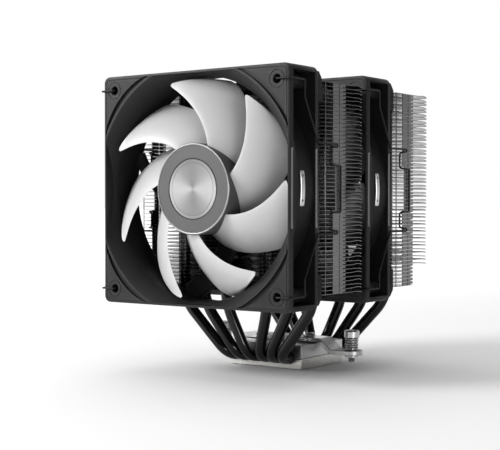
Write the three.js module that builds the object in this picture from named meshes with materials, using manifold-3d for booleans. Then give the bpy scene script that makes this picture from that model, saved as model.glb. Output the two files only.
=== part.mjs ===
// A dual-tower CPU cooler with two 120 mm fans, built as an assembly of separate pieces.
// Millimetres, +Z up, +Y along the airflow, +X to the right of someone facing the front fan.
// The origin is the centre of the cold plate's contact face.
import * as THREE from "three";
import { mergeVertices } from "three/addons/utils/BufferGeometryUtils.js";
import Module from "manifold-3d";

const wasm = await Module();
wasm.setup();

// ---- Driving dimensions ----
const GAP = 0.3; // clearance left between touching pieces
const EPS = 1; // how far a cutting tool runs past the faces it opens

const FAN_SIZE = 120;
const FAN_HALF = FAN_SIZE / 2;
const FAN_DEPTH = 25;
const FAN_CENTRE_Z = 97;
const FAN_HOLE_OFFSET = 52.5;
const FAN_HOLE_R = 2.2;
const FAN_CORNER_R = 3.5;
const FLANGE = 3; // thickness of the frame's front and rear flanges
const BORE_R = 57.5;
const MOUTH_R = 64.4; // the flared inlet, round in the corners
const MOUTH_HALF = 58.2; // and clipped square along the frame's edges
const DUCT_OUTER_R = 59.4;
const BOSS_R = 4.2;
const MOTOR_MOUNT_R = 21;
const MOTOR_MOUNT_DEPTH = 2.5;
const REAR_SINK = 1; // how far the motor mount stands in from the frame's rear face
const STRUT_SWEEP = 1.05; // degrees that a strut turns by per millimetre of radius
const STRUT_DEPTH = 3.4;
const STRUT_SINK = 0.2;
const STRUTS = [
  [72, 6.2],
  [162, 6.2],
  [251, 10.6],
  [342, 6.2],
]; // the outer end's angle in degrees from +X, seen from the front, and the width

const HUB_R = 23.35;
const HUB_WALL = 1.5;
const HUB_FRONT_Y = 0.6;
const HUB_REAR_Y = 19.5;
const BADGE_R = 15.35;
const BADGE_THICKNESS = 0.8;
const BLADES = 7;
const BLADE_TIP_R = 56.5;
const BLADE_THICKNESS = 1.6;
const BLADE_RADII = [HUB_R - 0.9, 32, 44, BLADE_TIP_R]; // sections, from inside the hub's wall
const CHORD_STEPS = 3;
const TIP_ANGLE = 108; // degrees, the first blade's leading tip
const LEAD_SWEEP = 38; // degrees that the leading edge falls back by at the hub
const LEAD_BEND = 1.1;
const TIP_CHORD = 37;
const TRAIL_SWEEP = 61;
const TRAIL_BEND = 1.45;
const LEAD_Y = 3;
const TRAIL_Y = 18.5;

const CAP_THICKNESS = 1.1; // of the hub's front behind the badge
const SHAFT_R = 1.5;
const SHAFT_END_Y = 20.8;
const SLEEVE = { inner: 1.85, outer: 3.9, y0: 6, y1: 20.5 };
const BEARING_TUBE = { inner: 4.3, outer: 5.8, y0: 5.5 };
const MAGNET = { inner: 19.4, y0: 6, y1: 18 };
const CORE = { inner: 6.1, outer: 8.5, y0: 9.5, y1: 14.5, shoeInner: 16.2, shoeOuter: 18.8 };
const CORE_SHOE_HALF = 36; // degrees
const BOBBIN = { outer: 10, y0: 14.9, y1: 17.5, lobeX: 6, lobeZ: 8, lobeR: 12 };
const BOARD = { outer: 18, y0: 18.4, y1: 19.6 };
const QUARTERS = [0, 90, 180, 270];

const SIDE_BADGE = { half: 8.7, endR: 2, thickness: 0.5, y: 11.4 };

const PAD_THICKNESS = 4.5;
const PAD_INSET = 0.7;
const PAD_WIDTH = 16.3;
const PAD_CUT = { x: 1.8, z: 5 }; // its cut-off corner
const FIN_DEPTH = 39;
const FIN_BOTTOM = 44;
const FIN_TOP = 150;
const FIN_COUNT = 16; // solid plates per tower, each as thick as the thin sheets it stands for
const FIN_THICKNESS = 1.35;
const WALL_THICKNESS = 1.2; // side wall that the fins' folded tabs make
const WALL_FRONT = -10.4; // from the tower's centre line
const WALL_DEPTH = 12;
const LOW_REAR_CUT = 12; // height over which the rear tower's fins stop at the side wall

const TOWER_PITCH = 2 * (FAN_DEPTH + PAD_THICKNESS) + 13;
const TOWER_Y = TOWER_PITCH / 2;
const FRONT_FAN_Y = -TOWER_Y - FIN_DEPTH / 2 - PAD_THICKNESS - FAN_DEPTH;
const REAR_FAN_Y = FRONT_FAN_Y + TOWER_PITCH;

const PIPE_R = 3;
const PIPE_SIDES = 8;
const PIPE_AXIS_Z = 5.8;
const PIPE_X_BASE = [-16.5, -9.9, -3.3, 3.3, 9.9, 16.5];
const PIPE_X_FINS = [-43, -29, -14, 14, 29, 43];
const PIPE_Y_FINS = 38;
const PIPE_TURN_Y = 32; // where the base run and the slanted run would meet
const PIPE_TURN_Z = 36; // where the slanted run and the leg would meet
const PIPE_BEND = 9.5;
const PIPE_TOP = 154.5;

const BASE_X = 48;
const BASE_Y = 42;
const BASE_TOP = 13;

const BAR_THICKNESS = 2.5;
const BAR_WIDTH = 12;
const BAR_END_Z = 7.5; // underside of the bar's lowered ends
const BAR_HALF = 49;
const BAR_SCREW_X = 16;
const BAR_SCREW = { headR: 3, headHeight: 1.8, shankR: 1.45, holeR: 1.8 };
const SCREW_X = 43; // the spring screws that fasten the cooler to its socket
const SCREW_TIP_Z = 3.6;
const SHANK_R = 1.9;
const SHANK_HOLE_R = 2.3;
const HEAD = { r: 4.2, height: 4, slotDepth: 1.6, slotHalf: 3, slotWidth: 1.2 };
const RING = { inner: 2.2, outer: 3.7, thickness: 1 };
const SPRING_LENGTH = 6.2;
const SPRING_TURNS = 4;
const SPRING_R = 3.3;
const SPRING_WIRE_R = 0.45;
const HEAD_Z = BAR_END_Z + BAR_THICKNESS + 2 * GAP + SPRING_LENGTH; // underside of the head

// ---- Wire clips, in the fan's own frame ----
const WIRE_R = 0.5;
const WIRE_BEND = 1;
const WIRE_X = FAN_HALF + GAP + WIRE_R + 0.05; // centre line of a clip's wire beside the fan
const WIRE_TIP_X = WIRE_X - 1.9; // where the hairpins press into the fins' notches
const WIRE_FRONT_Y = -GAP - WIRE_R;
const WIRE_SIDE_Y = 11.6;
const WIRE_ARM_Y = 23.5; // the arm slants to here, then runs straight back
const WIRE_NOTCH_Y = 37.2;
const WIRE_HAIRPIN_Y = 41.5;
const WIRE_HANDLE_Y = 44.6;
const ARM_Z = [44, 22.6];
const HAIRPIN_Z = [21, 20.2, 12.6, 11.8];
const NOTCH_HALF_Y = 1.1;
const NOTCH_HALF_Z = 22;

// ---- Materials ----
const paint = (color, roughness, metalness) =>
  new THREE.MeshStandardMaterial({ color, roughness, metalness });
const MATERIALS = {
  frame: paint(0x2a2a2b, 0.55, 0),
  blades: paint(0xd9d9d9, 0.4, 0),
  badge: paint(0xc4c4c4, 0.3, 1),
  rubber: paint(0x111111, 0.8, 0),
  fins: paint(0x9a9a9a, 0.45, 1),
  pipes: paint(0x151515, 0.25, 0.6),
  base: paint(0x8c8c8c, 0.3, 1),
  steel: paint(0xa8a8a8, 0.3, 1),
  wire: paint(0x161616, 0.35, 0.8),
  copper: paint(0xb06a3c, 0.4, 1),
  board: paint(0x1e4a2c, 0.6, 0),
  magnet: paint(0x3a3632, 0.6, 0.3),
};

// ---- Solids: three.js shapes, joined and cut by manifold-3d ----
const rad = THREE.MathUtils.degToRad;
const SIDES = [["left", -1], ["right", 1]];

function solid(geometry) {
  const bare = geometry.index ? geometry.toNonIndexed() : geometry.clone();
  bare.deleteAttribute("normal");
  bare.deleteAttribute("uv");
  const merged = mergeVertices(bare, 1e-4);
  return new wasm.Manifold(
    new wasm.Mesh({
      numProp: 3,
      vertProperties: new Float32Array(merged.attributes.position.array),
      triVerts: new Uint32Array(merged.index.array),
    }),
  );
}

function geometryOf(manifold) {
  const mesh = manifold.getMesh();
  return new THREE.BufferGeometry()
    .setAttribute("position", new THREE.BufferAttribute(mesh.vertProperties, 3))
    .setIndex(new THREE.BufferAttribute(mesh.triVerts, 1));
}

const joined = (parts) => parts.reduce((whole, part) => whole.add(part));

const span = (a, b) => [Math.min(a, b), Math.max(a, b)];

function box(x0, x1, y0, y1, z0, z1) {
  const shape = new THREE.BoxGeometry(x1 - x0, y1 - y0, z1 - z0);
  return solid(shape.translate((x0 + x1) / 2, (y0 + y1) / 2, (z0 + z1) / 2));
}

// A cylinder or cone along Y from y0 to y1, about the point x, z.
function rodY(r0, r1, y0, y1, sides, x = 0, z = 0) {
  const shape = new THREE.CylinderGeometry(r1, r0, y1 - y0, sides);
  return solid(shape.translate(x, (y0 + y1) / 2, z));
}

// A cylinder along Z from z0 to z1, about the point x, y.
function rodZ(r, z0, z1, sides, x = 0, y = 0) {
  const shape = new THREE.CylinderGeometry(r, r, z1 - z0, sides).rotateX(Math.PI / 2);
  return solid(shape.translate(x, y, (z0 + z1) / 2));
}

// A shape drawn in X and Z, extruded along Y from y0 to y1.
function plateY(shape, y0, y1, curveSegments = 6) {
  const options = { depth: y1 - y0, bevelEnabled: false, curveSegments };
  return solid(new THREE.ExtrudeGeometry(shape, options).rotateX(Math.PI / 2).translate(0, y1, 0));
}

function roundedSquare(half, radius) {
  const shape = new THREE.Shape();
  const inner = half - radius;
  shape.absarc(inner, inner, radius, 0, Math.PI / 2);
  shape.absarc(-inner, inner, radius, Math.PI / 2, Math.PI);
  shape.absarc(-inner, -inner, radius, Math.PI, 1.5 * Math.PI);
  shape.absarc(inner, -inner, radius, 1.5 * Math.PI, 2 * Math.PI);
  return shape;
}

// A profile of [radius, y] points that closes on itself, turned about Y.
function ringY(profile, segments) {
  const points = [...profile, profile[0]].map(([r, y]) => new THREE.Vector2(r, y));
  return solid(new THREE.LatheGeometry(points, segments));
}

const tubeY = (inner, outer, y0, y1, segments) =>
  ringY([[inner, y0], [outer, y0], [outer, y1], [inner, y1]], segments);

// A path that advances one station per extrusion step, so a straight run costs one step.
class StationPath extends THREE.Curve {
  constructor(stations) {
    super();
    this.stations = stations;
  }
  getPoint(t, target = new THREE.Vector3()) {
    const along = t * (this.stations.length - 1);
    const i = Math.min(Math.floor(along), this.stations.length - 2);
    return target.lerpVectors(this.stations[i], this.stations[i + 1], along - i);
  }
  getPointAt(u, target) {
    return this.getPoint(u, target);
  }
  getTangentAt(u, target = new THREE.Vector3()) {
    const i = Math.round(u * (this.stations.length - 1));
    const before = this.stations[Math.max(i - 1, 0)];
    const here = this.stations[i];
    const after = this.stations[Math.min(i + 1, this.stations.length - 1)];
    const arriving = here.clone().sub(before).normalize();
    const leaving = after.clone().sub(here).normalize();
    return target.copy(arriving.add(leaving)).normalize();
  }
}

function tube(stations, radius, sides) {
  const section = new THREE.Shape();
  for (let i = 0; i < sides; i++) {
    const a = (2 * Math.PI * i) / sides;
    const point = [radius * Math.cos(a), radius * Math.sin(a)];
    if (i === 0) section.moveTo(...point);
    else section.lineTo(...point);
  }
  const extrudePath = new StationPath(stations);
  return solid(new THREE.ExtrudeGeometry(section, { steps: stations.length - 1, extrudePath }));
}

// Stations along straight runs. Each corner is turned in the given number of steps, on a curve
// that starts and ends the given reach away from it.
function roundedRun(corners, bend, steps) {
  const points = corners.map((corner) => new THREE.Vector3(...corner));
  const stations = [points[0]];
  for (let i = 1; i < points.length - 1; i++) {
    const back = points[i - 1].clone().sub(points[i]);
    const on = points[i + 1].clone().sub(points[i]);
    const reach = Math.min(bend, back.length() * 0.45, on.length() * 0.45);
    const start = points[i].clone().addScaledVector(back.normalize(), reach);
    const end = points[i].clone().addScaledVector(on.normalize(), reach);
    stations.push(...new THREE.QuadraticBezierCurve3(start, points[i], end).getPoints(steps));
  }
  stations.push(points.at(-1));
  return stations;
}

const root = new THREE.Group();

function place(group, name, shape, material) {
  const mesh = new THREE.Mesh(geometryOf(shape), MATERIALS[material]);
  mesh.name = name;
  group.add(mesh);
}

// ---- Fan: its own frame has the fan's axis along Y and its front face at y = 0 ----
// A strut that sweeps outwards from under the motor mount to the duct's wall.
function strut(outerAngle, width) {
  const inner = MOTOR_MOUNT_R - 3;
  const outer = BORE_R + 1;
  const sides = [[], []];
  for (let i = 0; i <= 6; i++) {
    const r = inner + ((outer - inner) * i) / 6;
    const angle = rad(outerAngle + STRUT_SWEEP * (BORE_R - r));
    const across = angle - Math.atan(r * rad(STRUT_SWEEP)) + Math.PI / 2;
    const step = new THREE.Vector2(Math.cos(across), Math.sin(across)).multiplyScalar(width / 2);
    const middle = new THREE.Vector2(Math.cos(angle), Math.sin(angle)).multiplyScalar(r);
    sides[0].push(middle.clone().sub(step));
    sides[1].unshift(middle.clone().add(step));
  }
  const rear = FAN_DEPTH - STRUT_SINK;
  return plateY(new THREE.Shape([...sides[0], ...sides[1]]), rear - STRUT_DEPTH, rear);
}

function fanFrame() {
  const offsets = [-FAN_HOLE_OFFSET, FAN_HOLE_OFFSET];
  const corners = offsets.flatMap((x) => offsets.map((z) => [x, z]));
  let frame = plateY(roundedSquare(FAN_HALF, FAN_CORNER_R), 0, FAN_DEPTH, 3);
  // The sides are open between the flanges, around the duct and the corner bosses.
  const rim = FAN_HALF - FLANGE;
  let recess = box(-FAN_HALF - EPS, FAN_HALF + EPS, FLANGE, FAN_DEPTH - FLANGE, -rim, rim);
  recess = recess.subtract(rodY(DUCT_OUTER_R, DUCT_OUTER_R, 0, FAN_DEPTH, 40));
  for (const [x, z] of corners) {
    recess = recess.subtract(rodY(BOSS_R, BOSS_R, 0, FAN_DEPTH, 8, x, z));
  }
  const clip = box(-MOUTH_HALF, MOUTH_HALF, -EPS, FLANGE + EPS, -MOUTH_HALF, MOUTH_HALF);
  const mouth = rodY(MOUTH_R, BORE_R, -0.01, FLANGE, 40).intersect(clip);
  frame = frame.subtract(recess).subtract(mouth);
  frame = frame.subtract(rodY(BORE_R, BORE_R, -EPS, FAN_DEPTH + EPS, 40));
  for (const [x, z] of corners) {
    frame = frame.subtract(rodY(FAN_HOLE_R, FAN_HOLE_R, -EPS, FAN_DEPTH + EPS, 8, x, z));
  }
  const struts = STRUTS.map(([angle, width]) => strut(angle, width));
  const rear = FAN_DEPTH - REAR_SINK;
  const mount = rodY(MOTOR_MOUNT_R, MOTOR_MOUNT_R, rear - MOTOR_MOUNT_DEPTH, rear, 24);
  const bearing = tubeY(BEARING_TUBE.inner, BEARING_TUBE.outer, BEARING_TUBE.y0, rear - 2, 10);
  return joined([frame, mount, bearing, ...struts]);
}

// One sickle-shaped blade: chord stations run from the leading edge at the front of the fan to
// the trailing edge at its rear, and both edges sweep forward towards the tip.
function blade(index) {
  const positions = [];
  for (const side of [-1, 1]) {
    for (const r of BLADE_RADII) {
      const inward = (BLADE_TIP_R - r) / (BLADE_TIP_R - HUB_R);
      const lead = TIP_ANGLE - LEAD_SWEEP * inward ** LEAD_BEND;
      const trail = TIP_ANGLE - TIP_CHORD - TRAIL_SWEEP * inward ** TRAIL_BEND;
      for (let c = 0; c <= CHORD_STEPS; c++) {
        const u = c / CHORD_STEPS;
        const angle = rad(lead + (trail - lead) * u + (360 / BLADES) * index);
        const y = LEAD_Y + (TRAIL_Y - LEAD_Y) * u + side * (BLADE_THICKNESS / 2);
        positions.push(r * Math.cos(angle), y, r * Math.sin(angle));
      }
    }
  }
  const rows = BLADE_RADII.length;
  const cols = CHORD_STEPS + 1;
  const at = (side, row, col) => side * rows * cols + row * cols + col;
  const faces = [];
  const quad = (a, b, c, d) => faces.push(a, b, c, a, c, d);
  for (let r = 0; r < rows - 1; r++) {
    for (let c = 0; c < cols - 1; c++) {
      quad(at(0, r, c), at(0, r, c + 1), at(0, r + 1, c + 1), at(0, r + 1, c));
      quad(at(1, r, c), at(1, r + 1, c), at(1, r + 1, c + 1), at(1, r, c + 1));
    }
    quad(at(0, r, 0), at(0, r + 1, 0), at(1, r + 1, 0), at(1, r, 0));
    quad(at(0, r, cols - 1), at(1, r, cols - 1), at(1, r + 1, cols - 1), at(0, r + 1, cols - 1));
  }
  for (let c = 0; c < cols - 1; c++) {
    quad(at(0, 0, c), at(1, 0, c), at(1, 0, c + 1), at(0, 0, c + 1));
    quad(at(0, rows - 1, c), at(0, rows - 1, c + 1), at(1, rows - 1, c + 1), at(1, rows - 1, c));
  }
  const geometry = new THREE.BufferGeometry();
  geometry.setAttribute("position", new THREE.Float32BufferAttribute(positions, 3));
  geometry.setIndex(faces);
  const made = solid(geometry);
  return made.volume() > 0 ? made : solid(flipped(geometry));
}

function flipped(geometry) {
  const order = Array.from(geometry.index.array);
  for (let i = 0; i < order.length; i += 3) {
    [order[i + 1], order[i + 2]] = [order[i + 2], order[i + 1]];
  }
  return geometry.clone().setIndex(order);
}

const BADGE_SEAT_Y = HUB_FRONT_Y + BADGE_THICKNESS + GAP;
const CUP_INNER_Y = BADGE_SEAT_Y + CAP_THICKNESS;
const CUP_INNER_R = HUB_R - HUB_WALL;

function rotor() {
  const cup = ringY(
    [
      [0, BADGE_SEAT_Y],
      [BADGE_R + GAP, BADGE_SEAT_Y],
      [BADGE_R + GAP, HUB_FRONT_Y + 0.2],
      [HUB_R - 1, HUB_FRONT_Y],
      [HUB_R, HUB_FRONT_Y + 1],
      [HUB_R, HUB_REAR_Y],
      [CUP_INNER_R, HUB_REAR_Y],
      [CUP_INNER_R, CUP_INNER_Y],
      [0, CUP_INNER_Y],
    ],
    24,
  );
  return joined([cup, ...Array.from({ length: BLADES }, (_, i) => blade(i))]);
}

function statorCore() {
  const height = CORE.y1 - CORE.y0;
  const middle = (CORE.y0 + CORE.y1) / 2;
  const reach = CORE.shoeInner - CORE.outer + 2;
  const necks = QUARTERS.map((angle) => {
    const neck = new THREE.BoxGeometry(reach, height, 4).translate(CORE.outer - 1 + reach / 2, middle, 0);
    return solid(neck.rotateY(rad(angle)));
  });
  const shoes = QUARTERS.map((angle) => {
    const from = rad(angle - CORE_SHOE_HALF);
    const to = rad(angle + CORE_SHOE_HALF);
    const shoe = new THREE.Shape();
    shoe.absarc(0, 0, CORE.shoeOuter, from, to, false);
    shoe.absarc(0, 0, CORE.shoeInner, to, from, true);
    return plateY(shoe, CORE.y0, CORE.y1, 2);
  });
  return joined([tubeY(CORE.inner, CORE.outer, CORE.y0, CORE.y1, 12), ...necks, ...shoes]);
}

// The bobbin lies on the rear of the core, and its four lobes are the coils' end turns.
function coilBobbin() {
  const height = BOBBIN.y1 - BOBBIN.y0;
  const lobes = QUARTERS.map((angle) => {
    const lobe = new THREE.BoxGeometry(BOBBIN.lobeX, height, BOBBIN.lobeZ);
    lobe.translate(BOBBIN.lobeR, BOBBIN.y0 + height / 2, 0);
    return solid(lobe.rotateY(rad(angle)));
  });
  return joined([tubeY(CORE.inner, BOBBIN.outer, BOBBIN.y0, BOBBIN.y1, 12), ...lobes]);
}

// A side badge is a pill-shaped metal strip, let into the duct where it meets the frame's side.
function sideBadge(side) {
  const { half, endR, thickness, y } = SIDE_BADGE;
  const pill = new THREE.Shape();
  pill.absarc(0, half - endR, endR, 0, Math.PI);
  pill.absarc(0, endR - half, endR, Math.PI, 2 * Math.PI);
  const options = { depth: thickness, bevelEnabled: false, curveSegments: 5 };
  const strip = new THREE.ExtrudeGeometry(pill, options).rotateX(Math.PI / 2).rotateZ(-Math.PI / 2);
  strip.computeBoundingBox();
  const middle = strip.boundingBox.getCenter(new THREE.Vector3());
  const x = side * (DUCT_OUTER_R + GAP + thickness / 2);
  return solid(strip.translate(x - middle.x, y - middle.y, -middle.z));
}

function cornerPad(sx, sz) {
  const outer = FAN_HALF - PAD_INSET;
  const inner = outer - PAD_WIDTH;
  const outline = [
    [inner, inner],
    [outer, inner],
    [outer, outer - PAD_CUT.z],
    [outer - PAD_CUT.x, outer - 1],
    [inner, outer - 1],
  ];
  const shape = new THREE.Shape(outline.map(([x, z]) => new THREE.Vector2(sx * x, sz * z)));
  return plateY(shape, FAN_DEPTH + GAP, FAN_DEPTH + PAD_THICKNESS - GAP);
}

// The wire is hooked in the two front holes of one side of the fan, crosses the fan's side and
// grips the tower's wall with two hairpins. The handle stands between them.
function wireClip(side) {
  const half = [
    [FAN_HOLE_OFFSET, FLANGE, FAN_HOLE_OFFSET],
    [FAN_HOLE_OFFSET, WIRE_FRONT_Y, FAN_HOLE_OFFSET],
    [WIRE_X, WIRE_FRONT_Y, FAN_HOLE_OFFSET],
    [WIRE_X, WIRE_SIDE_Y, FAN_HOLE_OFFSET],
    [WIRE_X, WIRE_SIDE_Y, ARM_Z[0]],
    [WIRE_X, WIRE_ARM_Y, ARM_Z[1]],
    [WIRE_X, WIRE_HAIRPIN_Y, ARM_Z[1]],
    [WIRE_X, WIRE_HAIRPIN_Y, HAIRPIN_Z[0]],
    [WIRE_X, WIRE_NOTCH_Y, HAIRPIN_Z[0]],
    [WIRE_TIP_X, WIRE_NOTCH_Y, HAIRPIN_Z[1]],
    [WIRE_TIP_X, WIRE_NOTCH_Y, HAIRPIN_Z[2]],
    [WIRE_X, WIRE_NOTCH_Y, HAIRPIN_Z[3]],
    [WIRE_X, WIRE_HANDLE_Y, HAIRPIN_Z[3]],
  ];
  const mirrored = half.map(([x, y, z]) => [x, y, -z]).reverse();
  const run = [...half, ...mirrored].map(([x, y, z]) => [side * x, y, z]);
  return tube(roundedRun(run, WIRE_BEND, 1), WIRE_R, 5);
}

function addFan(name, frontY) {
  const fan = new THREE.Group();
  fan.position.set(0, frontY, FAN_CENTRE_Z);
  root.add(fan);
  const add = (part, shape, material) => place(fan, `${name}_${part}`, shape, material);
  add("fan_frame", fanFrame(), "frame");
  add("rotor", rotor(), "blades");
  const badgeEnd = HUB_FRONT_Y + BADGE_THICKNESS;
  add("hub_badge", rodY(BADGE_R, BADGE_R, HUB_FRONT_Y, badgeEnd, 28), "badge");
  add("magnet_ring", tubeY(MAGNET.inner, CUP_INNER_R - GAP, MAGNET.y0, MAGNET.y1, 24), "magnet");
  add("shaft", rodY(SHAFT_R, SHAFT_R, CUP_INNER_Y + GAP, SHAFT_END_Y, 8), "steel");
  add("bearing_sleeve", tubeY(SLEEVE.inner, SLEEVE.outer, SLEEVE.y0, SLEEVE.y1, 10), "copper");
  add("stator_core", statorCore(), "steel");
  add("coil_bobbin", coilBobbin(), "copper");
  add("motor_board", tubeY(CORE.inner, BOARD.outer, BOARD.y0, BOARD.y1, 16), "board");
  for (const [sideName, side] of SIDES) {
    add(`${sideName}_side_badge`, sideBadge(side), "badge");
    add(`${sideName}_clip`, wireClip(side), "wire");
    add(`${sideName}_top_pad`, cornerPad(side, 1), "rubber");
    add(`${sideName}_bottom_pad`, cornerPad(side, -1), "rubber");
  }
}

// ---- Fin stacks ----
function finStack(towerY, cutLowRear) {
  const half = FIN_DEPTH / 2;
  const plate = new THREE.Shape([
    new THREE.Vector2(-FAN_HALF, -half),
    new THREE.Vector2(FAN_HALF, -half),
    new THREE.Vector2(FAN_HALF, half),
    new THREE.Vector2(-FAN_HALF, half),
  ]);
  const pipeY = Math.sign(towerY) * PIPE_Y_FINS - towerY;
  const reach = (PIPE_R + GAP) * Math.SQRT2;
  const diamond = [[1, 0], [0, 1], [-1, 0], [0, -1]];
  for (const x of PIPE_X_FINS) {
    const rim = diamond.map(([sx, sy]) => new THREE.Vector2(x + sx * reach, pipeY + sy * reach));
    plate.holes.push(new THREE.Path(rim));
  }
  const options = { depth: FIN_THICKNESS, bevelEnabled: false, curveSegments: 1 };
  const fin = solid(new THREE.ExtrudeGeometry(plate, options));
  const pitch = (FIN_TOP - FIN_BOTTOM - FIN_THICKNESS) / (FIN_COUNT - 1);
  const levels = Array.from({ length: FIN_COUNT }, (_, i) => FIN_BOTTOM + pitch * i);
  const fins = levels.map((z) => fin.translate([0, 0, z]));
  const wallX = FAN_HALF - WALL_THICKNESS;
  const wallEnd = WALL_FRONT + WALL_DEPTH;
  const walls = [-1, 1].map((s) =>
    box(...span(s * wallX, s * FAN_HALF), WALL_FRONT, wallEnd, FIN_BOTTOM, FIN_TOP),
  );
  let stack = joined([...fins, ...walls]);
  // Notches that the clips' wires lie in, above and below the handle.
  const notchX = WIRE_TIP_X - WIRE_R - GAP;
  const notchY = WIRE_NOTCH_Y - FAN_DEPTH - PAD_THICKNESS - half;
  const rows = [FAN_CENTRE_Z - NOTCH_HALF_Z, FAN_CENTRE_Z + NOTCH_HALF_Z];
  for (const s of [-1, 1]) {
    const across = span(s * notchX, s * (FAN_HALF + EPS));
    stack = stack.subtract(box(...across, notchY - NOTCH_HALF_Y, notchY + NOTCH_HALF_Y, ...rows));
  }
  if (cutLowRear) {
    const across = [-FAN_HALF - EPS, FAN_HALF + EPS];
    stack = stack.subtract(box(...across, wallEnd, half + EPS, 0, FIN_BOTTOM + LOW_REAR_CUT));
  }
  return stack.translate([0, towerY, 0]);
}

// ---- Heat pipes: a U whose floor lies in the base and whose legs stand in the two towers ----
function heatPipe(index) {
  const baseX = PIPE_X_BASE[index];
  const finX = PIPE_X_FINS[index];
  const rear = [
    [baseX, PIPE_TURN_Y, PIPE_AXIS_Z],
    [finX, PIPE_Y_FINS, PIPE_TURN_Z],
    [finX, PIPE_Y_FINS, PIPE_TOP],
  ];
  const front = rear.map(([x, y, z]) => [x, -y, z]).reverse();
  return tube(roundedRun([...front, ...rear], PIPE_BEND, 5), PIPE_R, PIPE_SIDES);
}

// ---- Base: the cold plate and its cap clamp the pipes between them ----
function pipeGrooves() {
  const r = (PIPE_R + GAP) / Math.cos(Math.PI / 8);
  return joined(PIPE_X_BASE.map((x) => rodY(r, r, -BASE_Y, BASE_Y, 8, x, PIPE_AXIS_Z)));
}

function coldPlate() {
  const half = PIPE_AXIS_Z - GAP / 2;
  return box(-BASE_X / 2, BASE_X / 2, -BASE_Y / 2, BASE_Y / 2, 0, half).subtract(pipeGrooves());
}

function baseCap() {
  const low = PIPE_AXIS_Z + GAP / 2;
  const cap = box(-BASE_X / 2, BASE_X / 2, -BASE_Y / 2, BASE_Y / 2, low, BASE_TOP);
  return cap.subtract(pipeGrooves());
}

// The crossbar is a strip whose ends step down beside the base.
function crossbar() {
  const top = BASE_TOP + GAP + BAR_THICKNESS;
  const low = BAR_END_Z;
  const right = [
    [BASE_X / 2 + 2, top],
    [BASE_X / 2 + 9, low + BAR_THICKNESS],
    [BAR_HALF, low + BAR_THICKNESS],
    [BAR_HALF, low],
    [BASE_X / 2 + 8, low],
    [BASE_X / 2 + 1, top - BAR_THICKNESS],
  ];
  const left = right.map(([x, z]) => [-x, z]).reverse();
  const outline = new THREE.Shape([...right, ...left].map(([x, z]) => new THREE.Vector2(x, z)));
  let bar = plateY(outline, -BAR_WIDTH / 2, BAR_WIDTH / 2);
  for (const s of [-1, 1]) {
    bar = bar.subtract(rodZ(SHANK_HOLE_R, 0, 2 * BASE_TOP, 12, s * SCREW_X));
    bar = bar.subtract(rodZ(BAR_SCREW.holeR, 0, 2 * BASE_TOP, 8, s * BAR_SCREW_X));
  }
  return bar;
}

// A pan-head screw that holds the crossbar down, with its shank in the bar.
function barScrew(side) {
  const x = side * BAR_SCREW_X;
  const seat = BASE_TOP + GAP + BAR_THICKNESS + GAP;
  const head = rodZ(BAR_SCREW.headR, seat, seat + BAR_SCREW.headHeight, 10, x);
  return head.add(rodZ(BAR_SCREW.shankR, BASE_TOP + GAP, seat + 1, 8, x));
}

// A spring screw: a tall head with a cross recess on a shank through the bar.
function springScrew(side) {
  const x = side * SCREW_X;
  const top = HEAD_Z + HEAD.height;
  const floor = top - HEAD.slotDepth;
  const [long, short] = [HEAD.slotHalf, HEAD.slotWidth / 2];
  const slot = box(x - long, x + long, -short, short, floor, top + EPS);
  const cross = box(x - short, x + short, -long, long, floor, top + EPS);
  const head = rodZ(HEAD.r, HEAD_Z, top, 16, x).subtract(slot).subtract(cross);
  return head.add(rodZ(SHANK_R, SCREW_TIP_Z, HEAD_Z + 1, 10, x));
}

function retainingRing(side) {
  const ring = tubeY(RING.inner, RING.outer, 0, RING.thickness, 12).rotate([90, 0, 0]);
  return ring.translate([side * SCREW_X, 0, BAR_END_Z - GAP - RING.thickness]);
}

function coilSpring(side) {
  const low = BAR_END_Z + BAR_THICKNESS + GAP + SPRING_WIRE_R;
  const rise = SPRING_LENGTH - 2 * SPRING_WIRE_R;
  const steps = SPRING_TURNS * 8;
  const stations = Array.from({ length: steps + 1 }, (_, i) => {
    const a = (2 * Math.PI * SPRING_TURNS * i) / steps;
    const x = side * SCREW_X + SPRING_R * Math.cos(a);
    return new THREE.Vector3(x, SPRING_R * Math.sin(a), low + (rise * i) / steps);
  });
  return tube(stations, SPRING_WIRE_R, 5);
}

// ---- Assembly ----
place(root, "cold_plate", coldPlate(), "base");
place(root, "base_cap", baseCap(), "base");
PIPE_X_BASE.forEach((_, i) => place(root, `heatpipe_${i + 1}`, heatPipe(i), "pipes"));
place(root, "front_fin_stack", finStack(-TOWER_Y, false), "fins");
place(root, "rear_fin_stack", finStack(TOWER_Y, true), "fins");
place(root, "crossbar", crossbar(), "steel");
for (const [name, side] of SIDES) {
  place(root, `${name}_bar_screw`, barScrew(side), "steel");
  place(root, `${name}_spring_screw`, springScrew(side), "steel");
  place(root, `${name}_retaining_ring`, retainingRing(side), "steel");
  place(root, `${name}_spring`, coilSpring(side), "steel");
}
addFan("front", FRONT_FAN_Y);
addFan("rear", REAR_FAN_Y);

export default root;
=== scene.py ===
"""The looks of a dual-tower CPU cooler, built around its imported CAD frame.

Metres in Blender, +Z up, +Y along the airflow. Shapes are written in millimetres and scaled by
mesh_object(), and their places come from the frame's own boxes.
"""

import math

import bmesh
import bpy
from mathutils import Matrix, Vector
from mathutils.geometry import tessellate_polygon


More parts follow.
